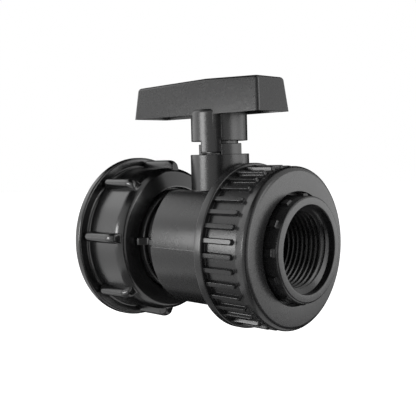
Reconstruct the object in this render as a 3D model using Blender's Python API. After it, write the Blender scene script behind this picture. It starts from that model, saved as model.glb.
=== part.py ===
"""Plastic ball valve for the outlet of a bulk container.

The pipe axis is X. The tank is at -X and the threaded outlet at +X, and the stem stands along +Z.
The origin is on the pipe axis, in the plane where the gasket meets the tank outlet.
"""

import math

import bmesh
import bpy
from mathutils import Matrix, Vector

MM = 0.001
GAP = 0.3
EDGE = 0.4
WELD = 0.0005
SHARP_DEG = 28

# Tank nut, for the S60x6 thread
NUT_BACK = -20.0
NUT_RIM_FRONT = -16.0
NUT_RIM_R = 37.4
NUT_R = 32.6
NUT_FRONT = 7.0
NUT_FRONT_R = 24.3
NUT_FILLET = 1.8
NUT_BORE_R = 29.0
NUT_SEAT_R = 27.2
NUT_WALL_BACK = 4.6
NUT_HOLE_R = 23.5
NUT_RIBS = 8
NUT_RIB_FIRST = 174.3
NUT_RIB_TOP = 36.1
NUT_RIB_WIDTH = 4.6
NUT_RIB_FRONT = 4.8
NUT_RIB_BEND = 4.0
NUT_SHOULDER = 2.0
NUT_CONE_START = 5.4
NUT_CONE_DROP = 2.2
NUT_SEAT_BACK = 1.4
NUT_STEPS = 40

# Flanged spigot through the tank nut
FLANGE_BACK = 2.3
FLANGE_FRONT = 4.3
FLANGE_R = 26.6
NECK_R = 21.0
BORE_R = 12.5
SPIGOT_END = 22.6
SPIGOT_THREAD_R = 20.3
SPIGOT_LIP_X = 0.8
SPIGOT_LIP_R = 14.6
SPIGOT_GROOVE = (19.9, 21.5)
SPIGOT_GROOVE_R = 18.7
GASKET_BORE_R = 15.0
GASKET_THICK = 2.0

# Spacer ring between tank nut and body
SPACER_BACK = 4.6
SPACER_FRONT = 9.3
SPACER_R = 22.8
TAB_BACK = 8.2
TAB_LOW = 0.2
TAB_HIGH = 3.4
TAB_OUTER = -26.8
TAB_ROOT = -21.5
KEY_ROOT = -24.9
KEY_IN_BODY = 0.9

# Body
STEM_X = 34.0
BODY_BACK = 17.4
BODY_FRONT = 62.4
BODY_R = 27.3
BODY_THREAD_R = 28.0
BODY_THREAD_BACK = 51.0
CAVITY_R = 20.0
CARRIER_BORE_R = 23.0
FLAT_Z = 22.6
FLAT_HALF = 16.5
FLAT_END = 45.2
TOWER_R = 12.5
TOWER_TOP = 38.1
STEM_BORE_R = 7.0
STOP_TOP = 42.5
STOP_R = 12.3
STOP_INNER_R = 10.0
STOP_FIRST = -45.0
STOP_ARC = 45.0
CAVITY_FRONT = 47.0
CARRIER_GAP = 0.4
STEM_POCKET_R = 9.6
STEM_POCKET_TOP = 24.0

# Ball and seats
BALL_R = 19.0
SLOT_HALF = 3.0
SLOT_BOTTOM = 14.6
SEAT_IN_R = 13.0
SEAT_OUT_R = 17.0
SEAT_BACK = 16.0
SEAT_LIP = 11.1
SEAT_CONTACT_R = 15.8
RING_GROOVE = (14.0, 16.2)
RING_GROOVE_DEPTH = 1.8
CARRIER_GROOVE = (50.2, 52.4)
CARRIER_GROOVE_R = 20.9
CARRIER_SLOT_HALF = 2.0
CARRIER_SLOT_DEPTH = 3.2

# Stem
STEM_R = 6.7
STEM_FLANGE_R = 9.1
STEM_FLANGE = (19.6, 22.2)
STEM_GROOVES = ((27.0, 29.0), (32.5, 34.5))
STEM_GROOVE_R = 5.0
TANG_HALF = (2.7, 5.5)
TANG_TOP = 20.5
WASHER = (22.5, 23.7)
SQUARE_HALF = 4.2
SQUARE_BEVEL = 0.8
STEM_TOP = 56.0

# Handle
SKIRT_R = 12.0
SKIRT_WALL = 2.0
SKIRT_BOTTOM = 43.65
JAW_BOTTOM = 39.0
JAW_FIRST = -88.5
JAW_LAST = -46.5
SOCKET_R = 8.0
SOCKET_BOTTOM = 38.5
SKIRT_ROOF = 52.6
SKIRT_DOME = 2.2
RECESS_DEPTH = 0.45
RECESS_FIRST = -56.0
RECESS_LAST = -44.0
RECESS_LOW = 44.6
RECESS_HIGH = 54.2
BLADE_BOTTOM = 54.75
BLADE_END_TOP = 68.7
BLADE_PEAK = 69.65
BLADE_HALF = 10.45
BLADE_DRAFT = 1.44
BLADE_FRONT = 29.7
BLADE_BACK = 42.4
BLADE_WALL = 2.0
BLADE_ROOF = 2.4
BLADE_EDGE = 1.5

# Union nut
UNION_BACK = 49.1
UNION_RIM_FRONT = 53.0
UNION_RIM_R = 34.2
UNION_R = 31.8
UNION_FLARE_R = 32.7
UNION_FLARE_X = 70.3
UNION_FACE = 74.0
UNION_SHOULDER = 69.6
UNION_BORE_R = 28.4
UNION_HOLE_R = 22.6
UNION_RIBS = 36
UNION_RIB_TOP = 33.2
UNION_RIB_END = 67.1
UNION_RIB_FOOT = 1.15
UNION_RIB_CREST = 0.55
UNION_RIB_ROOT = 2.4

# End connector with the internal pipe thread
NOSE_FRONT = 79.7
NOSE_R = 21.05
COLLAR_R = 27.0
COLLAR_FRONT = 69.3
COLLAR_BACK = 62.9
TAIL_R = 19.0
TAIL_BACK = 54.7
THREAD_BORE_R = 15.9
THREAD_START = 74.3
COUNTERBORE_R = 17.55
COUNTERBORE_DEPTH = 2.9
THREAD_MOUTH_R = 17.0
FACE_GROOVE = (23.8, 26.2)
FACE_GROOVE_DEPTH = 1.8
LUGS = 12
LUG_FIRST = 177.0
LUG_SPAN = (73.9, 77.2)
LUG_HALF = 1.6
LUG_HEIGHT = 0.9

# Sealing rings: x or z of the centre, radius of the centre line, radius of the cord
SEAT_CORD = (0.85, 15.1, 0.6)
ADAPTOR_CORD = (20.7, 19.65, 0.5)
CARRIER_CORD = (51.3, 21.95, 0.7)
UNION_CORD = (0.75, 25.0, 0.8)
STEM_CORDS = (("stem_o_ring_lower", 28.0), ("stem_o_ring_upper", 33.5))
STEM_CORD = (6.0, 0.65)

BLACK_PP = (0.030, 0.030, 0.031, 1.0)
NUT_BLACK = (0.022, 0.022, 0.023, 1.0)
RUBBER = (0.012, 0.012, 0.013, 1.0)
PTFE = (0.82, 0.82, 0.80, 1.0)


def clear_scene():
    for item in list(bpy.data.objects):
        bpy.data.objects.remove(item, do_unlink=True)


def material(name, colour, roughness):
    made = bpy.data.materials.new(name)
    made.use_nodes = True
    shader = made.node_tree.nodes["Principled BSDF"]
    shader.inputs["Base Color"].default_value = colour
    shader.inputs["Roughness"].default_value = roughness
    shader.inputs["Metallic"].default_value = 0.0
    return made


def new_object(name, bm, origin=(0.0, 0.0, 0.0)):
    """Finish a bmesh built in millimetres as an object with its origin at a world point."""
    bmesh.ops.remove_doubles(bm, verts=bm.verts, dist=WELD)
    bmesh.ops.recalc_face_normals(bm, faces=bm.faces)
    point = Vector(origin)
    bmesh.ops.translate(bm, verts=bm.verts, vec=-point)
    bmesh.ops.scale(bm, verts=bm.verts, vec=(MM, MM, MM))
    mesh = bpy.data.meshes.new(name)
    bm.to_mesh(mesh)
    bm.free()
    mesh.shade_smooth()
    mesh.set_sharp_from_angle(angle=math.radians(SHARP_DEG))
    made = bpy.data.objects.new(name, mesh)
    made.location = point * MM
    bpy.context.scene.collection.objects.link(made)
    return made


def lathe(profile, segments, axis="X", centre=(0.0, 0.0, 0.0)):
    """Turn a closed profile of (along, radius) points once round X or Z."""
    bm = bmesh.new()
    ring = []
    for along, radius in profile:
        point = (along, radius, 0.0) if axis == "X" else (radius, 0.0, along)
        ring.append(bm.verts.new(point))
    edges = []
    for i in range(len(ring)):
        if profile[i - 1][1] > 0 or profile[i][1] > 0:
            edges.append(bm.edges.new((ring[i - 1], ring[i])))
    direction = Vector((1, 0, 0)) if axis == "X" else Vector((0, 0, 1))
    bmesh.ops.spin(
        bm, geom=ring + edges, cent=(0, 0, 0), axis=direction,
        angle=math.radians(360), steps=segments, use_merge=True,
    )
    bmesh.ops.remove_doubles(bm, verts=bm.verts, dist=WELD)
    bmesh.ops.translate(bm, verts=bm.verts, vec=Vector(centre))
    return bm


def loft(rings):
    """Join rings of equal length into a closed skin with a cap at each end."""
    bm = bmesh.new()
    loops = [[bm.verts.new(point) for point in ring] for ring in rings]
    for first, second in zip(loops, loops[1:]):
        for i in range(len(first)):
            bm.faces.new((first[i - 1], first[i], second[i], second[i - 1]))
    bm.faces.new(loops[0])
    bm.faces.new(list(reversed(loops[-1])))
    bmesh.ops.recalc_face_normals(bm, faces=bm.faces)
    return bm


def sector(inner, outer, low, high, first, last, steps, centre_x):
    """A block between two radii and two angles, standing round a Z axis at centre_x."""
    rings = []
    for i in range(steps + 1):
        a = math.radians(first + (last - first) * i / steps)
        corners = ((inner, low), (outer, low), (outer, high), (inner, high))
        rings.append([(centre_x + r * math.cos(a), r * math.sin(a), z) for r, z in corners])
    return loft(rings)


def box(low, high):
    bm = bmesh.new()
    bmesh.ops.create_cube(bm, size=1.0)
    size = [b - a for a, b in zip(low, high)]
    middle = [(a + b) / 2 for a, b in zip(low, high)]
    bmesh.ops.scale(bm, verts=bm.verts, vec=size)
    bmesh.ops.translate(bm, verts=bm.verts, vec=middle)
    return bm


def ring_torus(x, radius, thickness, segments=16, sides=6, axis="X", centre=(0.0, 0.0, 0.0)):
    points = []
    for i in range(sides):
        a = 2 * math.pi * (i + 0.5) / sides
        points.append((x + thickness * math.cos(a), radius + thickness * math.sin(a)))
    return lathe(points, segments, axis, centre)


def merge(*parts):
    """Put several bmeshes into the first one, as separate shells."""
    whole = parts[0]
    for part in parts[1:]:
        mesh = bpy.data.meshes.new("merge")
        part.to_mesh(mesh)
        part.free()
        whole.from_mesh(mesh)
        bpy.data.meshes.remove(mesh)
    return whole


def rotate_x(bm, degrees):
    turn = Matrix.Rotation(math.radians(degrees), 4, "X")
    bmesh.ops.transform(bm, matrix=turn, verts=bm.verts)
    return bm


def combine(target, name, bm, operation):
    """Union or cut a helper shape with a Boolean modifier on the target."""
    helper = new_object(name, bm, tuple(v / MM for v in target.location))
    helper.hide_render = True
    helper.display_type = "WIRE"
    modifier = target.modifiers.new(name, "BOOLEAN")
    modifier.operation = operation
    modifier.solver = "EXACT"
    modifier.object = helper
    return helper


def paint(obj, mat):
    obj.data.materials.append(mat)
    return obj


def arc(cx, cy, radius, first, last, steps):
    """Points of an arc in the (along, radius) plane, by angle in degrees."""
    points = []
    for i in range(steps + 1):
        a = math.radians(first + (last - first) * i / steps)
        points.append((cx + radius * math.cos(a), cy + radius * math.sin(a)))
    return points


def tank_nut(mat):
    profile = [
        (NUT_BACK, NUT_BORE_R + EDGE),
        (NUT_BACK, NUT_RIM_R - EDGE),
        (NUT_BACK + EDGE, NUT_RIM_R),
        (NUT_RIM_FRONT - EDGE, NUT_RIM_R),
        (NUT_RIM_FRONT, NUT_RIM_R - EDGE),
    ]
    profile += arc(NUT_RIM_FRONT + NUT_FILLET, NUT_R + NUT_FILLET, NUT_FILLET, 180, 270, 3)
    profile += [
        (NUT_SHOULDER, NUT_R),
        (NUT_SHOULDER + 1.4, NUT_R - EDGE),
        (NUT_SHOULDER + 2.6, NUT_R - 1.3),
        (NUT_CONE_START, NUT_R - NUT_CONE_DROP),
        (NUT_FRONT, NUT_FRONT_R),
        (NUT_FRONT, NUT_HOLE_R),
        (NUT_WALL_BACK, NUT_HOLE_R),
        (NUT_WALL_BACK, NUT_SEAT_R),
        (NUT_SEAT_BACK, NUT_SEAT_R),
        (NUT_SEAT_BACK - NUT_BORE_R + NUT_SEAT_R, NUT_BORE_R),
        (NUT_BACK + EDGE, NUT_BORE_R),
    ]
    nut = new_object("ibc_nut", lathe(profile, NUT_STEPS))
    nut.data.materials.append(mat)
    ribs = []
    half = NUT_RIB_WIDTH / 2
    for i in range(NUT_RIBS):
        ribs.append(rotate_x(tank_nut_rib(half), NUT_RIB_FIRST + 360.0 * i / NUT_RIBS))
    combine(nut, "ibc_nut_ribs", merge(*ribs), "UNION")
    return nut


def tank_nut_rib(half):
    """One L-shaped rib lying along +Y, with a rounded back, bent down over the nut's front."""
    bend_x = NUT_RIB_FRONT - NUT_RIB_BEND
    deep = NUT_R - 1.6
    spine = [(NUT_RIM_FRONT - 0.8, NUT_RIB_TOP - EDGE)]
    spine += arc(bend_x, NUT_RIB_TOP - NUT_RIB_BEND, NUT_RIB_BEND, 90, 0, 4)
    spine += [(NUT_RIB_FRONT + 0.5, NUT_R - 2.2)]
    roots = [(NUT_RIM_FRONT - 0.8, deep)]
    roots += arc(bend_x - 0.9, deep - NUT_CONE_DROP, NUT_CONE_DROP, 90, 20, 4)
    roots += [(bend_x + 2.4, deep - 1.6)]
    rings = []
    for (x, r), (rx, rr) in zip(spine, roots):
        dx, dr = x - rx, r - rr
        length = math.hypot(dx, dr)
        ux, ur = dx / length, dr / length
        ring = [(rx, rr, -half)]
        for side, drop in ((-1.0, 1.4), (-0.5, 0.2), (0.5, 0.2), (1.0, 1.4)):
            ring.append((x - ux * drop, r - ur * drop, side * half))
        ring.append((rx, rr, half))
        rings.append(ring)
    return loft(rings)


def tank_adaptor(mat):
    groove_back, groove_front = SPIGOT_GROOVE
    ring_in, ring_out = RING_GROOVE
    face = STEM_X - SEAT_BACK - GAP
    profile = [
        (FLANGE_BACK, FLANGE_R - EDGE),
        (FLANGE_BACK + EDGE, FLANGE_R),
        (FLANGE_FRONT, FLANGE_R),
        (FLANGE_FRONT, NECK_R),
        (BODY_BACK - GAP, NECK_R),
        (BODY_BACK - GAP, SPIGOT_THREAD_R),
        (groove_back, SPIGOT_THREAD_R),
        (groove_back, SPIGOT_GROOVE_R),
        (groove_front, SPIGOT_GROOVE_R),
        (groove_front, SPIGOT_THREAD_R),
        (SPIGOT_END, SPIGOT_THREAD_R),
        (SPIGOT_END, SEAT_OUT_R + GAP),
        (face, SEAT_OUT_R + GAP),
        (face, ring_out),
        (face - RING_GROOVE_DEPTH, ring_out),
        (face - RING_GROOVE_DEPTH, ring_in),
        (face, ring_in),
        (face, BORE_R),
        (SPIGOT_LIP_X, BORE_R),
        (SPIGOT_LIP_X, SPIGOT_LIP_R),
        (FLANGE_BACK, SPIGOT_LIP_R),
    ]
    return paint(new_object("tank_adaptor", lathe(profile, 24)), mat)


def spacer_ring(mat):
    profile = [
        (SPACER_BACK, NECK_R + GAP),
        (SPACER_BACK, SPACER_R),
        (SPACER_FRONT - 2 * EDGE, SPACER_R),
        (SPACER_FRONT - EDGE / 2, SPACER_R - EDGE / 2),
        (SPACER_FRONT, SPACER_R - 2 * EDGE),
        (SPACER_FRONT, NECK_R + GAP),
    ]
    ring = paint(new_object("nut_spacer_ring", lathe(profile, 36)), mat)
    tab = box((TAB_BACK, TAB_OUTER, TAB_LOW), (BODY_BACK - GAP, TAB_ROOT, TAB_HIGH))
    combine(ring, "spacer_tab", tab, "UNION")
    key = box(
        (BODY_BACK - 1.0, TAB_OUTER + EDGE, TAB_LOW + EDGE),
        (BODY_BACK + KEY_IN_BODY, KEY_ROOT, TAB_HIGH - EDGE),
    )
    combine(ring, "spacer_key", key, "UNION")
    return ring


def valve_body(mat):
    profile = [
        (BODY_BACK, SPIGOT_THREAD_R + GAP),
        (BODY_BACK, BODY_R - 0.9),
        (BODY_BACK + 0.9, BODY_R),
        (BODY_THREAD_BACK - 0.7, BODY_R),
        (BODY_THREAD_BACK, BODY_THREAD_R),
        (BODY_FRONT - 0.6, BODY_THREAD_R),
        (BODY_FRONT, BODY_THREAD_R - 0.6),
        (BODY_FRONT, CARRIER_BORE_R),
        (CAVITY_FRONT, CARRIER_BORE_R),
        (CAVITY_FRONT, CAVITY_R),
        (SPIGOT_END + EDGE, CAVITY_R),
        (SPIGOT_END + EDGE, SPIGOT_THREAD_R + GAP),
    ]
    body = paint(new_object("valve_body", lathe(profile, 56)), mat)
    flat = box((BODY_BACK - 1.0, -FLAT_HALF, FLAT_Z), (FLAT_END, FLAT_HALF, BODY_R + 2.0))
    combine(body, "saddle_flat", flat, "DIFFERENCE")
    foot = FLAT_Z - 1.6
    tower = lathe([
        (foot, STEM_BORE_R - 1.0),
        (foot, TOWER_R),
        (TOWER_TOP, TOWER_R),
        (TOWER_TOP, STEM_BORE_R - 1.0),
    ], 40, "Z", (STEM_X, 0, 0))
    combine(body, "tower", tower, "UNION")
    stops = []
    for first in (STOP_FIRST, STOP_FIRST + 180.0):
        stops.append(sector(
            STOP_INNER_R, STOP_R, TOWER_TOP - 1.0, STOP_TOP, first, first + STOP_ARC, 5, STEM_X,
        ))
    combine(body, "stops", merge(*stops), "UNION")
    lead = STEM_BORE_R + 0.7
    bore = lathe([
        (CAVITY_R - 5.0, 0.0),
        (CAVITY_R - 5.0, STEM_POCKET_R),
        (STEM_POCKET_TOP, STEM_POCKET_R),
        (STEM_POCKET_TOP, STEM_BORE_R),
        (TOWER_TOP - 0.6, STEM_BORE_R),
        (TOWER_TOP + 0.1, lead),
        (TOWER_TOP + 1.0, lead),
        (TOWER_TOP + 1.0, 0.0),
    ], 28, "Z", (STEM_X, 0, 0))
    combine(body, "stem_bore", bore, "DIFFERENCE")
    notch_low = (BODY_BACK - 1.0, -BODY_R - 2.0, TAB_LOW + EDGE - GAP)
    notch_high = (BODY_BACK + KEY_IN_BODY + GAP, KEY_ROOT + GAP, TAB_HIGH - EDGE + GAP)
    combine(body, "key_notch", box(notch_low, notch_high), "DIFFERENCE")
    return body


def ball(mat):
    """A sphere cut flat by its bore, turned from its own outline, with the stem slot."""
    first = math.degrees(math.asin(BORE_R / BALL_R))
    points = arc(STEM_X, 0, BALL_R, 180 - first, first, 10)
    made = paint(new_object("ball", lathe(points, 24), (STEM_X, 0, 0)), mat)
    reach = BALL_R + 1.0
    slot = box((STEM_X - SLOT_HALF, -reach, SLOT_BOTTOM), (STEM_X + SLOT_HALF, reach, reach))
    combine(made, "ball_slot", slot, "DIFFERENCE")
    return made


def seat_ring(name, side, mat):
    """A seat that follows the ball with a small gap. side is -1 at the inlet and 1 at the outlet."""
    rub = BALL_R + GAP
    first = math.degrees(math.asin(SEAT_IN_R / rub))
    last = math.degrees(math.asin(SEAT_CONTACT_R / rub))
    points = arc(0, 0, rub, first, last, 3)
    points += [(SEAT_LIP, SEAT_OUT_R), (SEAT_BACK, SEAT_OUT_R), (SEAT_BACK, SEAT_IN_R)]
    points = [(STEM_X + side * x, r) for x, r in points]
    return paint(new_object(name, lathe(points, 24)), mat)


def seat_carrier(mat):
    back = STEM_X + SEAT_BACK + GAP
    lip = STEM_X + SEAT_LIP + CARRIER_GAP
    front = BODY_FRONT - GAP
    radius = CARRIER_BORE_R - CARRIER_GAP
    groove_back, groove_front = CARRIER_GROOVE
    ring_in, ring_out = RING_GROOVE
    profile = [
        (lip, SEAT_OUT_R + GAP),
        (lip, CAVITY_R - CARRIER_GAP),
        (CAVITY_FRONT + CARRIER_GAP, CAVITY_R - CARRIER_GAP),
        (CAVITY_FRONT + CARRIER_GAP, radius),
        (groove_back, radius),
        (groove_back, CARRIER_GROOVE_R),
        (groove_front, CARRIER_GROOVE_R),
        (groove_front, radius),
        (front, radius),
        (front, TAIL_R + CARRIER_GAP),
        (TAIL_BACK - GAP, TAIL_R + CARRIER_GAP),
        (TAIL_BACK - GAP, BORE_R),
        (back, BORE_R),
        (back, ring_in),
        (back + RING_GROOVE_DEPTH, ring_in),
        (back + RING_GROOVE_DEPTH, ring_out),
        (back, ring_out),
        (back, SEAT_OUT_R + GAP),
    ]
    carrier = paint(new_object("seat_carrier", lathe(profile, 24)), mat)
    reach = CARRIER_BORE_R + 1.0
    low = (front - CARRIER_SLOT_DEPTH, -reach, -CARRIER_SLOT_HALF)
    slots = box(low, (front + 1.0, reach, CARRIER_SLOT_HALF))
    combine(carrier, "carrier_slots", slots, "DIFFERENCE")
    return carrier


def end_connector(mat):
    groove_in, groove_out = FACE_GROOVE
    shelf = NOSE_FRONT - COUNTERBORE_DEPTH
    mouth = THREAD_START + THREAD_MOUTH_R - THREAD_BORE_R
    profile = [
        (COLLAR_BACK, TAIL_R),
        (TAIL_BACK, TAIL_R),
        (TAIL_BACK, THREAD_BORE_R - 1.2),
        (TAIL_BACK + 1.2, THREAD_BORE_R),
        (THREAD_START, THREAD_BORE_R),
        (mouth, THREAD_MOUTH_R),
        (shelf, THREAD_MOUTH_R),
        (shelf, COUNTERBORE_R),
        (NOSE_FRONT - EDGE, COUNTERBORE_R),
        (NOSE_FRONT, COUNTERBORE_R + EDGE),
        (NOSE_FRONT, NOSE_R - EDGE),
        (NOSE_FRONT - EDGE, NOSE_R),
        (COLLAR_FRONT, NOSE_R),
        (COLLAR_FRONT, COLLAR_R - EDGE),
        (COLLAR_FRONT - EDGE, COLLAR_R),
        (COLLAR_BACK, COLLAR_R),
        (COLLAR_BACK, groove_out),
        (COLLAR_BACK + FACE_GROOVE_DEPTH, groove_out),
        (COLLAR_BACK + FACE_GROOVE_DEPTH, groove_in),
        (COLLAR_BACK, groove_in),
    ]
    end = paint(new_object("end_connector", lathe(profile, 36)), mat)
    lug_back, lug_front = LUG_SPAN
    lugs = []
    for i in range(LUGS):
        low = (lug_back, NOSE_R - 1.0, -LUG_HALF)
        lug = box(low, (lug_front, NOSE_R + LUG_HEIGHT, LUG_HALF))
        lugs.append(rotate_x(lug, LUG_FIRST + 360.0 * i / LUGS))
    combine(end, "connector_lugs", merge(*lugs), "UNION")
    return end


def union_nut(mat):
    profile = [
        (UNION_BACK, UNION_BORE_R + EDGE),
        (UNION_BACK, UNION_RIM_R - EDGE),
        (UNION_BACK + EDGE, UNION_RIM_R),
        (UNION_RIM_FRONT - EDGE, UNION_RIM_R),
        (UNION_RIM_FRONT, UNION_RIM_R - EDGE),
        (UNION_RIM_FRONT, UNION_R),
        (UNION_RIB_END + 1.5, UNION_R),
        (UNION_FLARE_X, UNION_FLARE_R),
        (UNION_FACE - 2.7, UNION_FLARE_R - 0.3),
        (UNION_FACE - 1.8, UNION_R),
        (UNION_FACE - 1.0, UNION_R - 1.0),
        (UNION_FACE, UNION_R - 3.0),
        (UNION_FACE, UNION_HOLE_R + EDGE),
        (UNION_FACE - EDGE, UNION_HOLE_R),
        (UNION_SHOULDER, UNION_HOLE_R),
        (UNION_SHOULDER, UNION_BORE_R),
        (UNION_BACK + EDGE, UNION_BORE_R),
    ]
    nut = paint(new_object("union_nut", lathe(profile, UNION_RIBS)), mat)
    ribs = []
    for i in range(UNION_RIBS):
        ribs.append(rotate_x(union_rib(), 360.0 * i / UNION_RIBS))
    combine(nut, "union_ribs", merge(*ribs), "UNION")
    return nut


def union_rib():
    """One grip rib lying along +Y, with a rounded front end."""
    low = UNION_RIB_TOP - UNION_RIB_ROOT
    stations = [
        (UNION_RIM_FRONT - 1.0, UNION_RIB_TOP),
        (UNION_RIB_END - 0.8, UNION_RIB_TOP),
        (UNION_RIB_END, UNION_RIB_TOP - 1.0),
    ]
    rings = []
    for x, top in stations:
        ring = [(x, low, -UNION_RIB_FOOT), (x, top, -UNION_RIB_CREST)]
        ring += [(x, top, UNION_RIB_CREST), (x, low, UNION_RIB_FOOT)]
        rings.append(ring)
    return loft(rings)


def stem(mat):
    flange_low, flange_high = STEM_FLANGE
    profile = [
        (flange_low, 0.0),
        (flange_low, STEM_FLANGE_R),
        (flange_high, STEM_FLANGE_R),
        (flange_high, STEM_R),
    ]
    for low, high in STEM_GROOVES:
        profile += [(low, STEM_R), (low, STEM_GROOVE_R), (high, STEM_GROOVE_R), (high, STEM_R)]
    profile += [(TOWER_TOP, STEM_R), (TOWER_TOP, 0.0)]
    made = paint(new_object("stem", lathe(profile, 20, "Z", (STEM_X, 0, 0)), (STEM_X, 0, 0)), mat)
    half_x, half_y = TANG_HALF
    tang = box((STEM_X - half_x, -half_y, SLOT_BOTTOM + GAP), (STEM_X + half_x, half_y, TANG_TOP))
    combine(made, "stem_tang", tang, "UNION")
    low = (STEM_X - SQUARE_HALF, -SQUARE_HALF, TOWER_TOP - 1.0)
    square = box(low, (STEM_X + SQUARE_HALF, SQUARE_HALF, STEM_TOP))
    edges = [e for e in square.edges if abs(e.verts[0].co.z - e.verts[1].co.z) > 1.0]
    bmesh.ops.bevel(square, geom=edges, offset=SQUARE_BEVEL, segments=1, affect="EDGES")
    combine(made, "stem_square", square, "UNION")
    return made


def blade_shell(inset, bottom, roof, steps=2):
    """The tapering T-shaped blade: straight below, with its top falling from the stem to both ends."""
    rows = []
    for end in (-BLADE_BACK + inset, 0.0, BLADE_FRONT - inset):
        pull = math.copysign(BLADE_DRAFT, end) if end else 0.0
        top = (BLADE_END_TOP if end else BLADE_PEAK) - roof
        width = BLADE_HALF - inset
        low = (STEM_X + end, width, bottom)
        high = (STEM_X + end - pull, width - BLADE_DRAFT, top)
        rows.append([
            (low[0], -low[1], low[2]), (low[0], low[1], low[2]),
            (high[0], high[1], high[2]), (high[0], -high[1], high[2]),
        ])
    bm = loft(rows)
    if inset == 0.0:
        rim = []
        for e in bm.edges:
            a, b = (v.co for v in e.verts)
            upright = abs(a.z - b.z) > 8.0
            upper = min(a.z, b.z) > BLADE_BOTTOM + 8.0
            ends = abs(a.x - b.x) > 1.0 or abs(a.x - STEM_X) > 5.0
            if (upright and abs(a.x - STEM_X) > 5.0) or (upper and ends):
                rim.append(e)
        bmesh.ops.bevel(
            bm, geom=rim, offset=BLADE_EDGE, segments=steps, profile=0.5, affect="EDGES",
        )
    return bm


def handle(mat):
    made = new_object("handle", blade_shell(0.0, BLADE_BOTTOM, 0.0), (STEM_X, 0, 0))
    paint(made, mat)
    hollow = blade_shell(BLADE_WALL, BLADE_BOTTOM - BLADE_WALL, BLADE_ROOF)
    combine(made, "blade_hollow", hollow, "DIFFERENCE")
    socket_top = BLADE_PEAK - 1.6
    hub = lathe([
        (SKIRT_BOTTOM, SKIRT_R - SKIRT_WALL),
        (SKIRT_BOTTOM, SKIRT_R),
        (BLADE_BOTTOM, SKIRT_R),
        (BLADE_BOTTOM + 1.2, SKIRT_R - 0.7),
        (BLADE_BOTTOM + SKIRT_DOME, SKIRT_R - SKIRT_DOME),
        (BLADE_BOTTOM + SKIRT_DOME, SOCKET_R),
        (socket_top, SOCKET_R),
        (socket_top, 0.0),
        (SOCKET_BOTTOM, 0.0),
        (SOCKET_BOTTOM, SOCKET_R),
        (SKIRT_ROOF, SOCKET_R),
        (SKIRT_ROOF, SKIRT_R - SKIRT_WALL),
    ], 36, "Z", (STEM_X, 0, 0))
    combine(made, "hub", hub, "UNION")
    jaws = []
    recesses = []
    for turn in (0.0, 180.0):
        jaws.append(sector(
            SKIRT_R - SKIRT_WALL, SKIRT_R, JAW_BOTTOM, SKIRT_BOTTOM + 0.6,
            JAW_FIRST + turn, JAW_LAST + turn, 4, STEM_X,
        ))
        recesses.append(sector(
            SKIRT_R - RECESS_DEPTH, SKIRT_R + 1.0, RECESS_LOW, RECESS_HIGH,
            RECESS_FIRST + turn, RECESS_LAST + turn, 2, STEM_X,
        ))
    combine(made, "jaws", merge(*jaws), "UNION")
    combine(made, "skirt_recesses", merge(*recesses), "DIFFERENCE")
    half = SQUARE_HALF + GAP
    socket = box((STEM_X - half, -half, SOCKET_BOTTOM - 1.0), (STEM_X + half, half, STEM_TOP + 0.5))
    combine(made, "square_socket", socket, "DIFFERENCE")
    return made


def build():
    clear_scene()
    plastic = material("black polypropylene", BLACK_PP, 0.38)
    nut_plastic = material("black nut plastic", NUT_BLACK, 0.28)
    rubber = material("black rubber", RUBBER, 0.62)
    ptfe = material("white fluoropolymer", PTFE, 0.42)

    tank_nut(nut_plastic)
    tank_adaptor(plastic)
    spacer_ring(plastic)
    valve_body(plastic)
    ball(plastic)
    stem(plastic)
    handle(plastic)
    union_nut(plastic)
    end_connector(plastic)
    seat_carrier(plastic)
    seat_ring("seat_ring_inlet", -1, ptfe)
    seat_ring("seat_ring_outlet", 1, ptfe)

    away, radius, cord = SEAT_CORD
    reach = SEAT_BACK + GAP + away
    paint(new_object("seat_o_ring_inlet", ring_torus(STEM_X - reach, radius, cord)), rubber)
    paint(new_object("seat_o_ring_outlet", ring_torus(STEM_X + reach, radius, cord)), rubber)
    paint(new_object("adaptor_o_ring", ring_torus(*ADAPTOR_CORD)), rubber)
    paint(new_object("carrier_o_ring", ring_torus(*CARRIER_CORD)), rubber)
    away, radius, cord = UNION_CORD
    paint(new_object("union_o_ring", ring_torus(COLLAR_BACK + away, radius, cord, 24)), rubber)
    for name, z in STEM_CORDS:
        torus = ring_torus(z, *STEM_CORD, axis="Z", centre=(STEM_X, 0, 0))
        paint(new_object(name, torus, (STEM_X, 0, 0)), rubber)
    low, high = WASHER
    section = [
        (low, STEM_BORE_R), (low, STEM_FLANGE_R), (high, STEM_FLANGE_R), (high, STEM_BORE_R),
    ]
    washer = lathe(section, 20, "Z", (STEM_X, 0, 0))
    paint(new_object("stem_washer", washer, (STEM_X, 0, 0)), ptfe)
    section = [
        (0.0, GASKET_BORE_R), (0.0, FLANGE_R), (GASKET_THICK, FLANGE_R), (GASKET_THICK, GASKET_BORE_R),
    ]
    paint(new_object("tank_gasket", lathe(section, 32)), rubber)


build()
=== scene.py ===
"""Tank valve: the visible pieces of a moulded plastic ball valve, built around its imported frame."""

import math

import bmesh
import bpy
import numpy as np
from mathutils import Matrix, Vector


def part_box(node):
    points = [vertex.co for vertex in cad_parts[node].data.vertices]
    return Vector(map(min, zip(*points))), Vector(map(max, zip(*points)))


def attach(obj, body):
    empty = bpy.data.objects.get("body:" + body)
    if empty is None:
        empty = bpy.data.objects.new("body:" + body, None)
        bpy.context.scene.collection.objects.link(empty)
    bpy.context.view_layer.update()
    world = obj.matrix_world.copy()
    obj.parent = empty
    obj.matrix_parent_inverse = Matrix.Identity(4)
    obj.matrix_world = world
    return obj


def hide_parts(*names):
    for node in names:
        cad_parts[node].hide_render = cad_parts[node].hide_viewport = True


bl_info = {
    "name": "Tank valve",
    "version": (1, 0, 0),
    "blender": (4, 5, 0),
    "location": "View3D > Sidebar > Tank valve",
    "description": "Builds the visible pieces of a plastic tank valve around its packed frame",
    "category": "Object",
}

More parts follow.
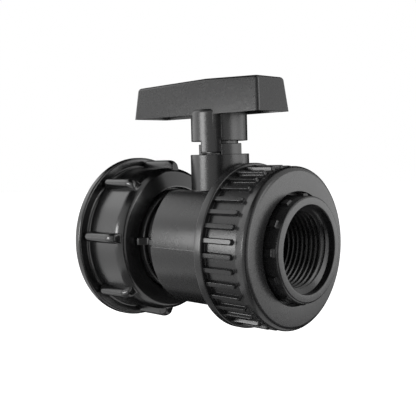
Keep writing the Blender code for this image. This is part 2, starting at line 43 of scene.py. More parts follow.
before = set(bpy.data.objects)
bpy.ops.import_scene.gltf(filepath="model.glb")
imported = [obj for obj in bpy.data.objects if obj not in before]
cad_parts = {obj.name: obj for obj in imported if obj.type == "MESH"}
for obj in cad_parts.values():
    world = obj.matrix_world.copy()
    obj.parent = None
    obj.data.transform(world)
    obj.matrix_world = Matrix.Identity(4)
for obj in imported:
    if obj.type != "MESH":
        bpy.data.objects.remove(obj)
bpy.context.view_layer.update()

MM = 0.001
WELD = 0.002
FULL = 2.0 * math.pi


# Sizes taken from the frame, in millimetres along the pipe or out from its axis.


def extent(node):
    """The lowest and highest corners of a node of the frame, in millimetres."""
    low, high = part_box(node)
    return np.array(low) / MM, np.array(high) / MM


def reach_of(node):
    """Where a node of the frame begins and ends along the pipe, in millimetres."""
    low, high = extent(node)
    return float(low[0]), float(high[0])


NUT_BACK, NUT_FRONT = reach_of("ibc_nut")
BODY_BACK, BODY_FRONT = reach_of("valve_body")
UNION_BACK, UNION_FACE = reach_of("union_nut")
NOSE = reach_of("end_connector")[1]
STEM_X = sum(reach_of("stem")) / 2.0
STEM_TOP = float(extent("stem")[1][2])


# Outlines and meshes.


def rounded(corners, turn=10.0):
    """An outline through corners given as (along, out, fillet radius), with arcs at the fillets."""
    spots = [np.array(c[:2], float) for c in corners]
    fillets = [c[2] if len(c) > 2 else 0.0 for c in corners]
    line = [spots[0]]
    for i in range(1, len(spots) - 1):
        here, radius = spots[i], fillets[i]
        before = spots[i - 1] - here
        after = spots[i + 1] - here
        reach_before, reach_after = np.linalg.norm(before), np.linalg.norm(after)
        before, after = before / reach_before, after / reach_after
        bend = math.acos(float(np.clip(np.dot(before, after), -1.0, 1.0)))
        if radius <= 0.0 or bend > math.pi - 0.02:
            line.append(here)
            continue
        cut = min(radius / math.tan(bend / 2.0), 0.49 * reach_before, 0.49 * reach_after)
        radius = cut * math.tan(bend / 2.0)
        middle = before + after
        centre = here + middle / np.linalg.norm(middle) * radius / math.sin(bend / 2.0)
        first = here + before * cut - centre
        last = here + after * cut - centre
        steps = max(2, int(math.ceil(math.degrees(math.pi - bend) / turn)))
        for k in range(steps + 1):
            share = k / steps
            swing = math.pi - bend
            weight = (math.sin((1.0 - share) * swing), math.sin(share * swing))
            line.append(centre + (first * weight[0] + last * weight[1]) / math.sin(swing))
    line.append(spots[-1])
    return np.array(line)


def refined(line, longest):
    """The same outline with every run cut into steps no longer than given."""
    points = [line[0]]
    for a, b in zip(line[:-1], line[1:]):
        steps = max(1, int(math.ceil(np.linalg.norm(b - a) / longest)))
        for k in range(1, steps + 1):
            points.append(a + (b - a) * k / steps)
    return np.array(points)


def restepped(line, out, places):
    """The same outline with its long straight run at one radius cut at the given places."""
    points = []
    for a, b in zip(line[:-1], line[1:]):
        points.append(a)
        if abs(a[1] - out) < 0.1 and abs(b[1] - out) < 0.1 and abs(b[0] - a[0]) > 3.0:
            inside = sorted(x for x in places if min(a[0], b[0]) < x < max(a[0], b[0]))
            points += [np.array((x, a[1])) for x in (inside if b[0] > a[0] else reversed(inside))]
    return np.array(points + [line[-1]])


def even_angles(count):
    """Columns at equal angles round a full turn, the first repeated at the end."""
    return np.linspace(0.0, FULL, count + 1)


def repeated_angles(offsets, count, first=0.0):
    """Columns that repeat a row of offsets in degrees round each of count ribs."""
    turns = []
    for k in range(count):
        centre = first + 360.0 * k / count
        turns += [centre + offset for offset in offsets]
    turns = sorted(turns)
    return np.radians(np.array(turns + [turns[0] + 360.0]))


def mirrored(half):
    """Offsets on both sides of zero from the positive ones."""
    return sorted({-value for value in half} | set(half))


def smooth_step(value):
    """0 below 0, 1 above 1, with a soft ramp between."""
    value = np.clip(value, 0.0, 1.0)
    return value * value * (3.0 - 2.0 * value)


def soft_max(a, b, width):
    """The larger of two heights, with a fillet of about the given width where they meet."""
    share = np.clip(0.5 + 0.5 * (b - a) / width, 0.0, 1.0)
    return a + (b - a) * share + width * share * (1.0 - share)


def from_centre(angles, centres):
    """The signed angle from each column to the nearest of the centres, in radians."""
    gaps = (angles[:, None] - np.radians(np.array(centres))[None, :] + math.pi) % FULL - math.pi
    nearest = np.abs(gaps).argmin(axis=1)
    return gaps[np.arange(len(angles)), nearest]


class Skin:
    """Strips of faces gathered in millimetres and welded into one closed mesh."""

    def __init__(self):
        self.points = []
        self.quads = []
        self.total = 0

    def strip(self, grid):
        rows, columns = grid.shape[:2]
        index = np.arange(rows * columns).reshape(rows, columns) + self.total
        corners = (index[:-1, :-1], index[:-1, 1:], index[1:, 1:], index[1:, :-1])
        self.quads.append(np.stack(corners, -1).reshape(-1, 4))
        self.points.append(grid.reshape(-1, 3))
        self.total += rows * columns
        return self

    def mesh(self):
        made = bpy.data.meshes.new("skin")
        faces = [quad for quads in self.quads for quad in quads.tolist()]
        made.from_pydata((np.concatenate(self.points) * MM).tolist(), [], faces)
        bm = bmesh.new()
        bm.from_mesh(made)
        bpy.data.meshes.remove(made)
        bmesh.ops.remove_doubles(bm, verts=bm.verts, dist=WELD * MM)
        bmesh.ops.dissolve_degenerate(bm, dist=0.5 * WELD * MM, edges=bm.edges)
        bmesh.ops.recalc_face_normals(bm, faces=bm.faces)
        return bm


def along_pipe(line, angles, relief=None):
    """A grid of points turned about the pipe, with the radius changed by relief(along, out, angle)."""
    along = np.repeat(line[:, 0][:, None], len(angles), axis=1)
    out = np.repeat(line[:, 1][:, None], len(angles), axis=1)
    turn = np.repeat(angles[None, :], len(line), axis=0)
    if relief is not None:
        out = relief(along, out, turn)
    return np.stack((along, out * np.cos(turn), out * np.sin(turn)), -1)


def about_stem(line, angles, relief=None):
    """A grid of points turned about the stem axis from an outline of (height, out)."""
    height = np.repeat(line[:, 0][:, None], len(angles), axis=1)
    out = np.repeat(line[:, 1][:, None], len(angles), axis=1)
    turn = np.repeat(angles[None, :], len(line), axis=0)
    if relief is not None:
        height, out = relief(height, out, turn)
    return np.stack((STEM_X + out * np.cos(turn), out * np.sin(turn), height), -1)


def helix(start, end, pitch, tooth, angles, limit):
    """Right-hand thread between two rings. tooth lists (share of a pitch, radius), and limit(along,
    radius) cuts the crests at the lead-ins."""
    turns = int(math.ceil((end - start) / pitch)) + 2
    rows = []
    for k in range(-1, turns):
        rows += [(start + (k + share) * pitch, radius) for share, radius in tooth]
    rows = [row for row in rows if start - pitch < row[0] < end]
    rows = [(start - pitch, rows[0][1])] + rows + [(end, rows[-1][1])]
    base = np.array(rows)
    along = np.clip(base[:, 0][:, None] + pitch * (angles - angles[0])[None, :] / FULL, start, end)
    out = np.repeat(base[:, 1][:, None], len(angles), axis=1)
    out = limit(along, out)
    turn = np.repeat(angles[None, :], len(base), axis=0)
    return np.stack((along, out * np.cos(turn), out * np.sin(turn)), -1)


def shown(name, bm, sharp=32.0):
    """A smooth shaded object from a bmesh, with its hard edges kept by angle."""
    data = bpy.data.meshes.new(name)
    bm.to_mesh(data)
    bm.free()
    data.polygons.foreach_set("use_smooth", [True] * len(data.polygons))
    data.set_sharp_from_angle(angle=math.radians(sharp))
    made = bpy.data.objects.new(name, data)
    bpy.context.scene.collection.objects.link(made)
    return made


def applied(made):
    """The same object with its modifiers worked into its mesh."""
    graph = bpy.context.evaluated_depsgraph_get()
    done = bpy.data.meshes.new_from_object(made.evaluated_get(graph))
    made.modifiers.clear()
    spent = made.data
    made.data = done
    bpy.data.meshes.remove(spent)
    return made


def cut_or_join(target, bm, operation):
    """Applies an exact Boolean of a closed bmesh to an object and deletes the tool."""
    tool = shown("tool", bm)
    step = target.modifiers.new("step", "BOOLEAN")
    step.operation = operation
    step.solver = "EXACT"
    step.object = tool
    applied(target)
    bpy.data.objects.remove(tool)


def finished(made, sharp=32.0):
    """Smooth shading again after Booleans, with sharp edges by angle and normals that favour large faces."""
    made.data.polygons.foreach_set("use_smooth", [True] * len(made.data.polygons))
    made.data.set_sharp_from_angle(angle=math.radians(sharp))
    favour = made.modifiers.new("favour", "WEIGHTED_NORMAL")
    favour.mode = "FACE_AREA"
    favour.weight = 100
    favour.keep_sharp = True
    return applied(made)


def block(low, high, bevel=0.0, segments=3):
    """A box in millimetres with rounded edges."""
    bm = bmesh.new()
    bmesh.ops.create_cube(bm, size=1.0)
    low, high = np.array(low, float), np.array(high, float)
    for v in bm.verts:
        v.co = Vector((low + (np.array(v.co) + 0.5) * (high - low)) * MM)
    if bevel > 0.0:
        bmesh.ops.bevel(bm, geom=bm.edges[:], offset=bevel * MM, segments=segments, profile=0.5, affect="EDGES")
    return bm


def sector(inner, outer, low, high, first, last, bevel, steps=12):
    """A curved block about the stem axis between two angles in degrees, with rounded edges."""
    bm = bmesh.new()
    rings = []
    for k in range(steps + 1):
        a = math.radians(first + (last - first) * k / steps)
        corner = ((inner, low), (outer, low), (outer, high), (inner, high))
        rings.append([bm.verts.new(((STEM_X + r * math.cos(a)) * MM, r * math.sin(a) * MM, z * MM))
                      for r, z in corner])
    for a, b in zip(rings[:-1], rings[1:]):
        for k in range(4):
            bm.faces.new((a[k], a[(k + 1) % 4], b[(k + 1) % 4], b[k]))
    bm.faces.new(rings[0])
    bm.faces.new(rings[-1])
    bmesh.ops.recalc_face_normals(bm, faces=bm.faces)
    hard = [e for e in bm.edges if len(e.link_faces) == 2 and e.calc_face_angle() > math.radians(30.0)]
    bmesh.ops.bevel(bm, geom=hard, offset=bevel * MM, segments=3, profile=0.5, affect="EDGES")
    return bm


# Materials.


WHITE = (1.0, 1.0, 1.0, 1.0)


def tinted(colour, gain=1.0, lift=0.0):
    """A colour made lighter or darker, with its alpha."""
    return tuple(min(1.0, channel * gain + lift) for channel in colour[:3]) + (1.0,)


class Value:
    """A shader socket that takes part in Python expressions through Math nodes."""

    def __init__(self, nodes, socket):
        self.nodes = nodes
        self.socket = socket

    def math(self, operation, *others):
        return self.nodes.node("ShaderNodeMath", {"operation": operation}, [self, *others])

    def __add__(self, other):
        return self.math("ADD", other)

    def __mul__(self, other):
        return self.math("MULTIPLY", other)

    __radd__ = __add__
    __rmul__ = __mul__


class Nodes:
    """A node tree that node() fills."""

    def __init__(self, owner):
        owner.use_nodes = True
        self.tree = owner.node_tree
        self.tree.nodes.clear()

    def feed(self, socket, value):
        if isinstance(value, Value):
            self.tree.links.new(value.socket, socket)
        else:
            socket.default_value = value

    def node(self, kind, settings=None, inputs=None, output=0):
        """A node with its settings made first and its sockets fed by name or by order."""
        made = self.tree.nodes.new(kind)
        for key, setting in (settings or {}).items():
            setattr(made, key, setting)
        pairs = inputs.items() if isinstance(inputs, dict) else enumerate(inputs or [])
        for key, value in pairs:
            self.feed(made.inputs[key], value)
        return Value(self, made.outputs[output])


class Finish(Nodes):
    """One procedural material, whose surface is set by shade()."""

    def __init__(self, name):
        self.material = bpy.data.materials.new(name)
        super().__init__(self.material)
        self.surface = self.tree.nodes.new("ShaderNodeBsdfPrincipled")
        self.output = self.tree.nodes.new("ShaderNodeOutputMaterial")
        self.tree.links.new(self.surface.outputs[0], self.output.inputs["Surface"])

    def place(self):
        """Where a point is on its piece, in metres."""
        return self.node("ShaderNodeTexCoord", output="Object")

    def noise(self, per_metre, detail=3.0, rough=0.5, place=None):
        inputs = {"Vector": place or self.place(), "Scale": per_metre, "Detail": detail, "Roughness": rough}
        return self.node("ShaderNodeTexNoise", None, inputs)

    def mix(self, share, one, other):
        """A blend of two colours, which are inputs 6 and 7 of a Mix node that mixes colours."""
        return self.node("ShaderNodeMix", {"data_type": "RGBA"}, {0: share, 6: one, 7: other}, 2)

    def bump(self, height, depth, normal=None):
        inputs = {"Height": height, "Distance": depth * MM, "Strength": 1.0}
        if normal is not None:
            inputs["Normal"] = normal
        return self.node("ShaderNodeBump", None, inputs)

    def shade(self, **sockets):
        for name, value in sockets.items():
            self.feed(self.surface.inputs[name.replace("_", " ")], value)
        return self.material


def moulded(name, colour, gloss, grain, depth, bend):
    """Injection moulded plastic: fine orange peel, faint specks and a slow change of gloss and colour."""
    finish = Finish(name)
    place = finish.place()
    broad = finish.noise(28.0, 2.0, 0.55, place)
    peel = finish.noise(grain, 4.0, 0.6, place)
    fine = finish.noise(grain * 5.5, 2.0, 0.5, place)
    dust = finish.noise(grain * 1.9, 6.0, 0.7, place)
    specks = finish.node("ShaderNodeMapRange", None, {"Value": dust, "From Min": 0.56, "From Max": 0.78})
    tone = finish.mix(broad * 0.7 + specks * 0.3, tinted(colour), tinted(colour, 1.6, 0.002))
    rough = broad * 0.10 + peel * 0.05 + specks * 0.06 + (gloss - 0.075)
    first = finish.bump(peel, depth)
    second = finish.bump(fine, depth * 0.22, normal=first)
    return finish.shade(Base_Color=tone, Roughness=rough, Normal=second, IOR=bend)


def rubber(name, colour):
    """Matt black rubber with a fine grain."""
    finish = Finish(name)
    place = finish.place()
    grain = finish.noise(900.0, 4.0, 0.6, place)
    broad = finish.noise(60.0, 2.0, 0.5, place)
    tone = finish.mix(broad, tinted(colour), tinted(colour, 1.5))
    return finish.shade(Base_Color=tone, Roughness=broad * 0.12 + 0.55, Normal=finish.bump(grain, 0.03), IOR=1.5)


def sealing_plastic(name, colour):
    """Waxy white seat plastic with a faint grain."""
    finish = Finish(name)
    place = finish.place()
    cloud = finish.noise(90.0, 3.0, 0.5, place)
    grain = finish.noise(700.0, 3.0, 0.5, place)
    tone = finish.mix(cloud, tinted(colour), tinted(colour, 0.9))
    return finish.shade(Base_Color=tone, Roughness=cloud * 0.1 + 0.38, Normal=finish.bump(grain, 0.01), IOR=1.38)


def dressed(piece, body, nodes, material):
    """Gives a piece its material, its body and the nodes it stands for."""
    piece.data.materials.clear()
    piece.data.materials.append(material)
    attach(piece, body)
    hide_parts(*nodes)
    return piece


def colour_property(name, description, default):
    return bpy.props.FloatVectorProperty(
        name=name, description=description, default=default, min=0.0, max=1.0, size=3, subtype="COLOR")


def length_property(name, description, millimetres):
    return bpy.props.FloatProperty(
        name=name, description=description, default=millimetres * MM, min=0.0, unit="LENGTH", precision=5)


class FinishSettings(bpy.types.PropertyGroup):
    """Colours and gloss of the four materials."""

    body_colour: colour_property("Body colour", "Black moulded plastic of the body", (0.0070, 0.0070, 0.0073))
    nut_colour: colour_property("Nut colour", "Black plastic of the tank nut", (0.0024, 0.0024, 0.0026))
    rubber_colour: colour_property("Rubber colour", "Black rubber of the rings", (0.010, 0.010, 0.011))
    seat_colour: colour_property("Seat colour", "White plastic of the seats", (0.80, 0.80, 0.78))
    body_roughness: bpy.props.FloatProperty(
        name="Body roughness", description="Roughness of the moulded body", default=0.27, min=0.0, max=1.0,
        subtype="FACTOR")
    nut_roughness: bpy.props.FloatProperty(
        name="Nut roughness", description="Roughness of the tank nut", default=0.23, min=0.0, max=1.0,
        subtype="FACTOR")


class ThreadSettings(bpy.types.PropertyGroup):
    """Pitches of the threads."""

    tank_pitch: length_property("Tank thread pitch", "Coarse thread in the tank nut", 6.0)
    pipe_pitch: length_property("Pipe thread pitch", "Parallel pipe thread in the connector", 2.309)
    union_pitch: length_property("Union thread pitch", "Thread between the body and the union nut", 3.0)


class GripSettings(bpy.types.PropertyGroup):
    """Counts of the ribs and lugs that hands and tools hold."""

    tank_ribs: bpy.props.IntProperty(name="Tank nut ribs", description="Ribs on the tank nut", default=8, min=3)
    union_ribs: bpy.props.IntProperty(name="Union ribs", description="Ribs on the union nut", default=36, min=6)
    lugs: bpy.props.IntProperty(name="Lugs", description="Lugs on the connector nose", default=12, min=3)
    rib_height: length_property("Rib height", "Height of the union nut ribs", 1.4)
    lug_height: length_property("Lug height", "Height of the connector lugs", 0.9)


class StageSettings(bpy.types.PropertyGroup):
    """Brightness of the studio, where 1 is white."""

    left_lamp: bpy.props.FloatProperty(
        name="Left softbox", description="Radiance of the left softbox", default=1.0, min=0.0)
    key_lamp: bpy.props.FloatProperty(
        name="Key lamp", description="Radiance of the near lamp left of the camera", default=9.5, min=0.0)
    right_lamp: bpy.props.FloatProperty(
        name="Right softbox", description="Radiance of the right softbox", default=2.8, min=0.0)
    low_lamp: bpy.props.FloatProperty(
        name="Low lamp", description="Radiance of the low softbox behind the outlet", default=1.9, min=0.0)
    room: bpy.props.FloatProperty(
        name="Room light", description="Strength of the room's light on matt surfaces", default=0.5, min=0.0)


def stored(name, make):
    """A material made once and shared by the pieces that use it."""
    return bpy.data.materials.get(name) or make()


def body_plastic():
    s = bpy.context.scene.valve_finish
    name = "moulded_black"
    return stored(name, lambda: moulded(name, s.body_colour, s.body_roughness, 420.0, 0.035, 1.5))


def nut_plastic():
    s = bpy.context.scene.valve_finish
    name = "nut_black"
    return stored(name, lambda: moulded(name, s.nut_colour, s.nut_roughness, 260.0, 0.02, 1.66))


def ring_rubber():
    s = bpy.context.scene.valve_finish
    return stored("ring_rubber", lambda: rubber("ring_rubber", s.rubber_colour))


def seat_plastic():
    s = bpy.context.scene.valve_finish
    return stored("seat_white", lambda: sealing_plastic("seat_white", s.seat_colour))


class Builder:
    """What every piece's operator shares."""

    bl_options = {"REGISTER", "UNDO"}

    def execute(self, context):
        self.build(context)
        return {"FINISHED"}


class VALVE_OT_tank_nut(Builder, bpy.types.Operator):
    """Build the captive tank nut with its rod-like ribs, wide rim and coarse thread"""

    bl_idname = "valve.tank_nut"
    bl_label = "Tank nut"

    def build(self, context):
        ribs = context.scene.valve_grip.tank_ribs
        pitch = context.scene.valve_threads.tank_pitch / MM
        first = 174.3
        half, top, root, skin_radius = 2.5, 36.1, 31.6, 32.6
        mid_rib, roundness = 34.4, 2.6
        nose_end, nose_radius, flare = 4.6, 4.8, 0.19
        dense = [0.0, 0.5, 1.0, 1.5, 2.0, 2.4, 2.75, 3.05, 3.3, 3.5, 3.7, 3.85, 4.0, 4.15, 4.3, 4.5, 4.8, 5.2, 5.8]
        wide = [6.6, 8.0, 10.0, 12.0, 14.0, 16.0, 18.0, 20.0]
        angles = repeated_angles(mirrored(dense + wide) + [22.5], ribs, first)
        rear, rim_front, front = NUT_BACK, -16.7, NUT_FRONT

        def relief(along, out, turn):
            offset = from_centre(turn[0], [first + 360.0 * k / ribs for k in range(ribs)])
            side = np.repeat((offset * mid_rib)[None, :], len(along), axis=0)
            back = np.maximum(0.0, rim_front + 0.1 + half - along)
            reach = np.sqrt(side * side + back * back) / half
            bulge = np.clip(1.0 - reach ** roundness, 0.0, 1.0) ** (1.0 / roundness)
            drop = np.clip(along + 0.1, 0.0, nose_end)
            crown = top - (nose_radius - np.sqrt(nose_radius * nose_radius - drop * drop))
            foot = root - flare * drop * drop / 2.0
            rod = foot + (crown - foot) * bulge * smooth_step((4.7 - along) / 1.6)
            rod = np.where((reach >= 1.0) | (along > nose_end), root - 6.0, rod)
            on_skin = (out > 29.5) & (along > rim_front - 0.01) & (along < 5.6) & (out < 33.0)
            return np.where(on_skin, soft_max(out, rod, 0.45), out)

        outer = rounded([
            (-0.6, 30.2), (0.0, 29.8), (1.4, 27.2, 0.3), (4.6, 27.2, 0.3), (4.6, 23.5, 0.2), (front, 23.5, 0.3),
            (front, 24.3, 0.4), (5.3, 30.6, 2.6), (2.6, skin_radius, 5.0), (rim_front, skin_radius, 1.4),
            (rim_front, 37.4, 0.9), (rear, 37.4, 0.5), (rear, 30.8, 0.3), (-19.2, 30.2),
        ], 9.0)
        keep = (outer[:, 0] > -17.2) & (outer[:, 0] < 6.0) & (outer[:, 1] > 29.0) & (outer[:, 1] < 33.5)
        fine = []
        for i, (a, b) in enumerate(zip(outer[:-1], outer[1:])):
            fine.append(refined(np.array([a, b]), 0.34 if keep[i] and keep[i + 1] else 3.0)[:-1])
        outer = np.concatenate(fine + [outer[-1:]])
        tooth = [(0.0, 30.2), (0.2, 30.2), (0.235, 30.05), (0.26, 29.8), (0.44, 27.9), (0.47, 27.68), (0.5, 27.6),
                 (0.72, 27.6), (0.75, 27.66), (0.775, 27.85), (0.93, 29.9), (0.96, 30.12)]

        def lead_in(along, out):
            cut = np.maximum(30.2 - (along + 19.2) * 0.9, 30.2 - (-0.6 - along) * 1.4)
            return np.maximum(out, cut)

        skin = Skin().strip(along_pipe(outer, angles, relief))
        skin.strip(helix(-19.2, -0.6, pitch, tooth, angles, lead_in))
        nut = shown("tank_nut_shell", skin.mesh())
        dressed(nut, "tank_nut", ["ibc_nut"], nut_plastic())


class VALVE_OT_spacer_ring(Builder, bpy.types.Operator):
    """Build the sleeve on the neck with the fin that reaches back from the body"""

    bl_idname = "valve.spacer_ring"
    bl_label = "Spacer ring"

    def fin(self, front):
        """The fin, high at its back end, with a saddle before it meets the body."""
        side = ((8.2, -21.6), (8.2, -25.8), (8.9, -26.7), (9.9, -26.6), (12.6, -24.1), (13.6, -24.0), (15.3, -25.6),
                (front, -26.4), (front, -21.6))
        bm = bmesh.new()
        faces = [[bm.verts.new((x * MM, y * MM, z * MM)) for x, y in side] for z in (0.3, 3.3)]
        for k in range(len(side)):
            bm.faces.new((faces[0][k - 1], faces[0][k], faces[1][k], faces[1][k - 1]))
        for face in faces:
            bm.faces.new(face)
        bmesh.ops.recalc_face_normals(bm, faces=bm.faces)
        bmesh.ops.bevel(bm, geom=bm.edges[:], offset=0.3 * MM, segments=3, profile=0.5, affect="EDGES")
        return bm

    def build(self, context):
        low, high = extent("nut_spacer_ring")
        back, front, radius, bore = float(low[0]), 9.3, 22.8, 21.3
        line = rounded([
            (back + 2.0, radius), (front, radius, 0.8), (front, bore, 0.3), (back, bore, 0.2), (back, radius, 0.2),
            (back + 2.0, radius),
        ])
        ring = shown("spacer_ring", Skin().strip(along_pipe(line, even_angles(240))).mesh())
        fin = self.fin(BODY_BACK - 0.3)
        key = block((16.2, -26.35, 0.65), (float(high[0]), -24.95, 2.95), 0.15)
        for tool in (fin, key):
            cut_or_join(ring, tool, "UNION")
        dressed(finished(ring), "valve", ["nut_spacer_ring"], body_plastic())


class VALVE_OT_body(Builder, bpy.types.Operator):
    """Build the body: barrel with a flat on top, stem tower, stop sectors and the union thread"""

    bl_idname = "valve.body"
    bl_label = "Valve body"

    def build(self, context):
        pitch = context.scene.valve_threads.union_pitch / MM
        back, front, barrel, flat = BODY_BACK, BODY_FRONT, 27.3, 22.6
        seam_height, seam_width = 0.05, 0.16
        near = mirrored([0.0, 0.12, 0.25, 0.4, 0.6, 0.9, 1.3, 1.8])
        turns = set(np.arange(0.0, 360.0, 1.5).round(3).tolist())
        for centre in (0.0, 180.0):
            turns |= {round((centre + offset) % 360.0, 3) for offset in near}
        turns = sorted(turns)
        angles = np.radians(np.array(turns + [360.0 + turns[0]]))

        def relief(along, out, turn):
            on_skin = (out > 26.9) & (along > back + 0.5) & (along < 50.6)
            ridge = seam_height * np.exp(-((out * np.sin(turn)) / seam_width) ** 2)
            part = smooth_step((along - 18.6) / 0.5) * smooth_step((50.0 - along) / 0.5)
            return np.where(on_skin, out + ridge * part, out)

        outer = rounded([
            (front, 26.0), (front, 23.0, 0.2), (47.0, 23.0), (47.0, 20.0), (23.0, 20.0), (23.0, 20.6),
            (back, 20.6, 0.2), (back, barrel, 0.9), (50.4, barrel, 0.2), (51.0, 27.2),
        ])
        outer = restepped(outer, barrel, [18.6, 18.8, 19.0, *np.arange(19.2, 49.4, 1.6), 49.5, 49.8, 50.1])
        tooth = [(0.0, 27.2), (0.12, 27.2), (0.2, 27.3), (0.4, 28.08), (0.46, 28.2), (0.62, 28.2), (0.68, 28.08),
                 (0.88, 27.3)]

        def lead_in(along, out):
            return np.minimum(out, np.minimum(27.2 + (along - 51.0), 27.2 + (front - 0.4 - along) * 0.8))

        skin = Skin().strip(along_pipe(outer, angles, relief))
        skin.strip(helix(51.0, front - 0.4, pitch, tooth, angles, lead_in))
        tip = np.array([(front - 0.4, 27.2), (front, 26.8), (front, 26.0)])
        skin.strip(along_pipe(tip, angles))
        body = shown("body_shell", skin.mesh())

        cut_or_join(body, block((back - 3.0, -16.5, flat), (45.2, 16.5, 32.0), 0.2), "DIFFERENCE")
        foot = np.array([(flat - 1.6, 9.0), (flat - 1.6, 13.5), (flat - 0.02, 13.5), (flat + 0.02, 13.1)])
        rise = rounded([
            (flat + 0.02, 13.1), (flat + 0.18, 12.78), (flat + 0.55, 12.5), (38.1, 12.5, 0.35), (38.1, 6.0),
            (flat - 1.6, 6.0), (flat - 1.6, 9.0),
        ])
        tower = Skin().strip(about_stem(np.concatenate((foot, rise[1:])), even_angles(192)))
        cut_or_join(body, tower.mesh(), "UNION")
        for first in (-45.0, 135.0):
            cut_or_join(body, sector(10.0, 12.3, 37.0, 42.5, first, first + 45.0, 0.3), "UNION")
        bore = rounded([
            (15.0, 0.0), (15.0, 9.6), (24.0, 9.6), (24.0, 7.0), (37.5, 7.0), (38.2, 7.7), (39.2, 7.7), (39.2, 0.0),
        ])
        cut_or_join(body, Skin().strip(about_stem(bore, even_angles(96))).mesh(), "DIFFERENCE")
        cut_or_join(body, block((back - 1.0, -29.3, 0.3), (back + 1.2, -24.6, 3.3)), "DIFFERENCE")
        dressed(finished(body), "valve", ["valve_body"], body_plastic())


class VALVE_OT_handle(Builder, bpy.types.Operator):
    """Build the hollow T-shaped handle with its skirt and two hanging stop jaws"""

    bl_idname = "valve.handle"
    bl_label = "Handle"

    def blade(self, inset, bottom, roof, fillet):
        """The tapering blade: upright below, its top falling from the stem to both ends."""
        draft, half, ends, slope = 1.44, 10.45, (42.4, 29.7), 1.44 / 13.95
        bm = bmesh.new()
        rings = []
        for end in (-ends[0] + inset, 0.0, ends[1] - inset):
            pull = math.copysign(draft, end) if end else 0.0
            top = (68.7 if end else 69.65) - roof
            low, high = half - inset, half - inset - slope * (top + roof - 54.75)
            ring = ((end, -low, bottom), (end, low, bottom), (end - pull, high, top), (end - pull, -high, top))
            rings.append([bm.verts.new(((STEM_X + x) * MM, y * MM, z * MM)) for x, y, z in ring])
        for a, b in zip(rings[:-1], rings[1:]):
            for k in range(4):
                bm.faces.new((a[k], a[(k + 1) % 4], b[(k + 1) % 4], b[k]))
        bm.faces.new(rings[0])
        bm.faces.new(rings[-1])
        bmesh.ops.recalc_face_normals(bm, faces=bm.faces)
        rim = []
        for e in bm.edges:
            a, b = (v.co / MM for v in e.verts)
            upright = abs(a.z - b.z) > 8.0
            upper = min(a.z, b.z) > bottom + 8.0
            crossing = abs(a.x - STEM_X) < 5.0 and abs(b.x - STEM_X) < 5.0
            if (upright and abs(a.x - STEM_X) > 5.0) or (upper and not crossing):
                rim.append(e)
        bmesh.ops.bevel(bm, geom=rim, offset=fillet * MM, segments=6, profile=0.5, affect="EDGES")
        return bm

    def build(self, context):
        bottom, skirt, socket = 54.75, 12.0, 8.0
        handle = shown("handle_shell", self.blade(0.0, bottom, 0.0, 1.5))
        cut_or_join(handle, self.blade(2.0, bottom - 2.0, 2.4, 0.6), "DIFFERENCE")
        hub = rounded([
            (48.0, 10.0), (43.65, 10.0, 0.2), (43.65, skirt, 0.3), (56.9, skirt, 2.2), (56.9, 9.0), (56.9, socket),
            (68.0, socket), (68.0, 0.0), (38.5, 0.0), (38.5, socket, 0.2), (52.6, socket), (52.6, 10.0), (48.0, 10.0),
        ])
        cut_or_join(handle, Skin().strip(about_stem(hub, even_angles(192))).mesh(), "UNION")
        for turn in (0.0, 180.0):
            jaw = sector(10.0, skirt, 39.0, 45.0, -88.5 + turn, -46.5 + turn, 0.28)
            cut_or_join(handle, jaw, "UNION")
            groove = sector(skirt - 0.42, skirt + 2.0, 44.6, 54.2, -56.0 + turn, -44.0 + turn, 0.12)
            cut_or_join(handle, groove, "DIFFERENCE")
        square = block((STEM_X - 4.5, -4.5, 37.5), (STEM_X + 4.5, 4.5, 56.5), 0.3)
        cut_or_join(handle, square, "DIFFERENCE")
        dressed(finished(handle), "lever", ["handle"], body_plastic())


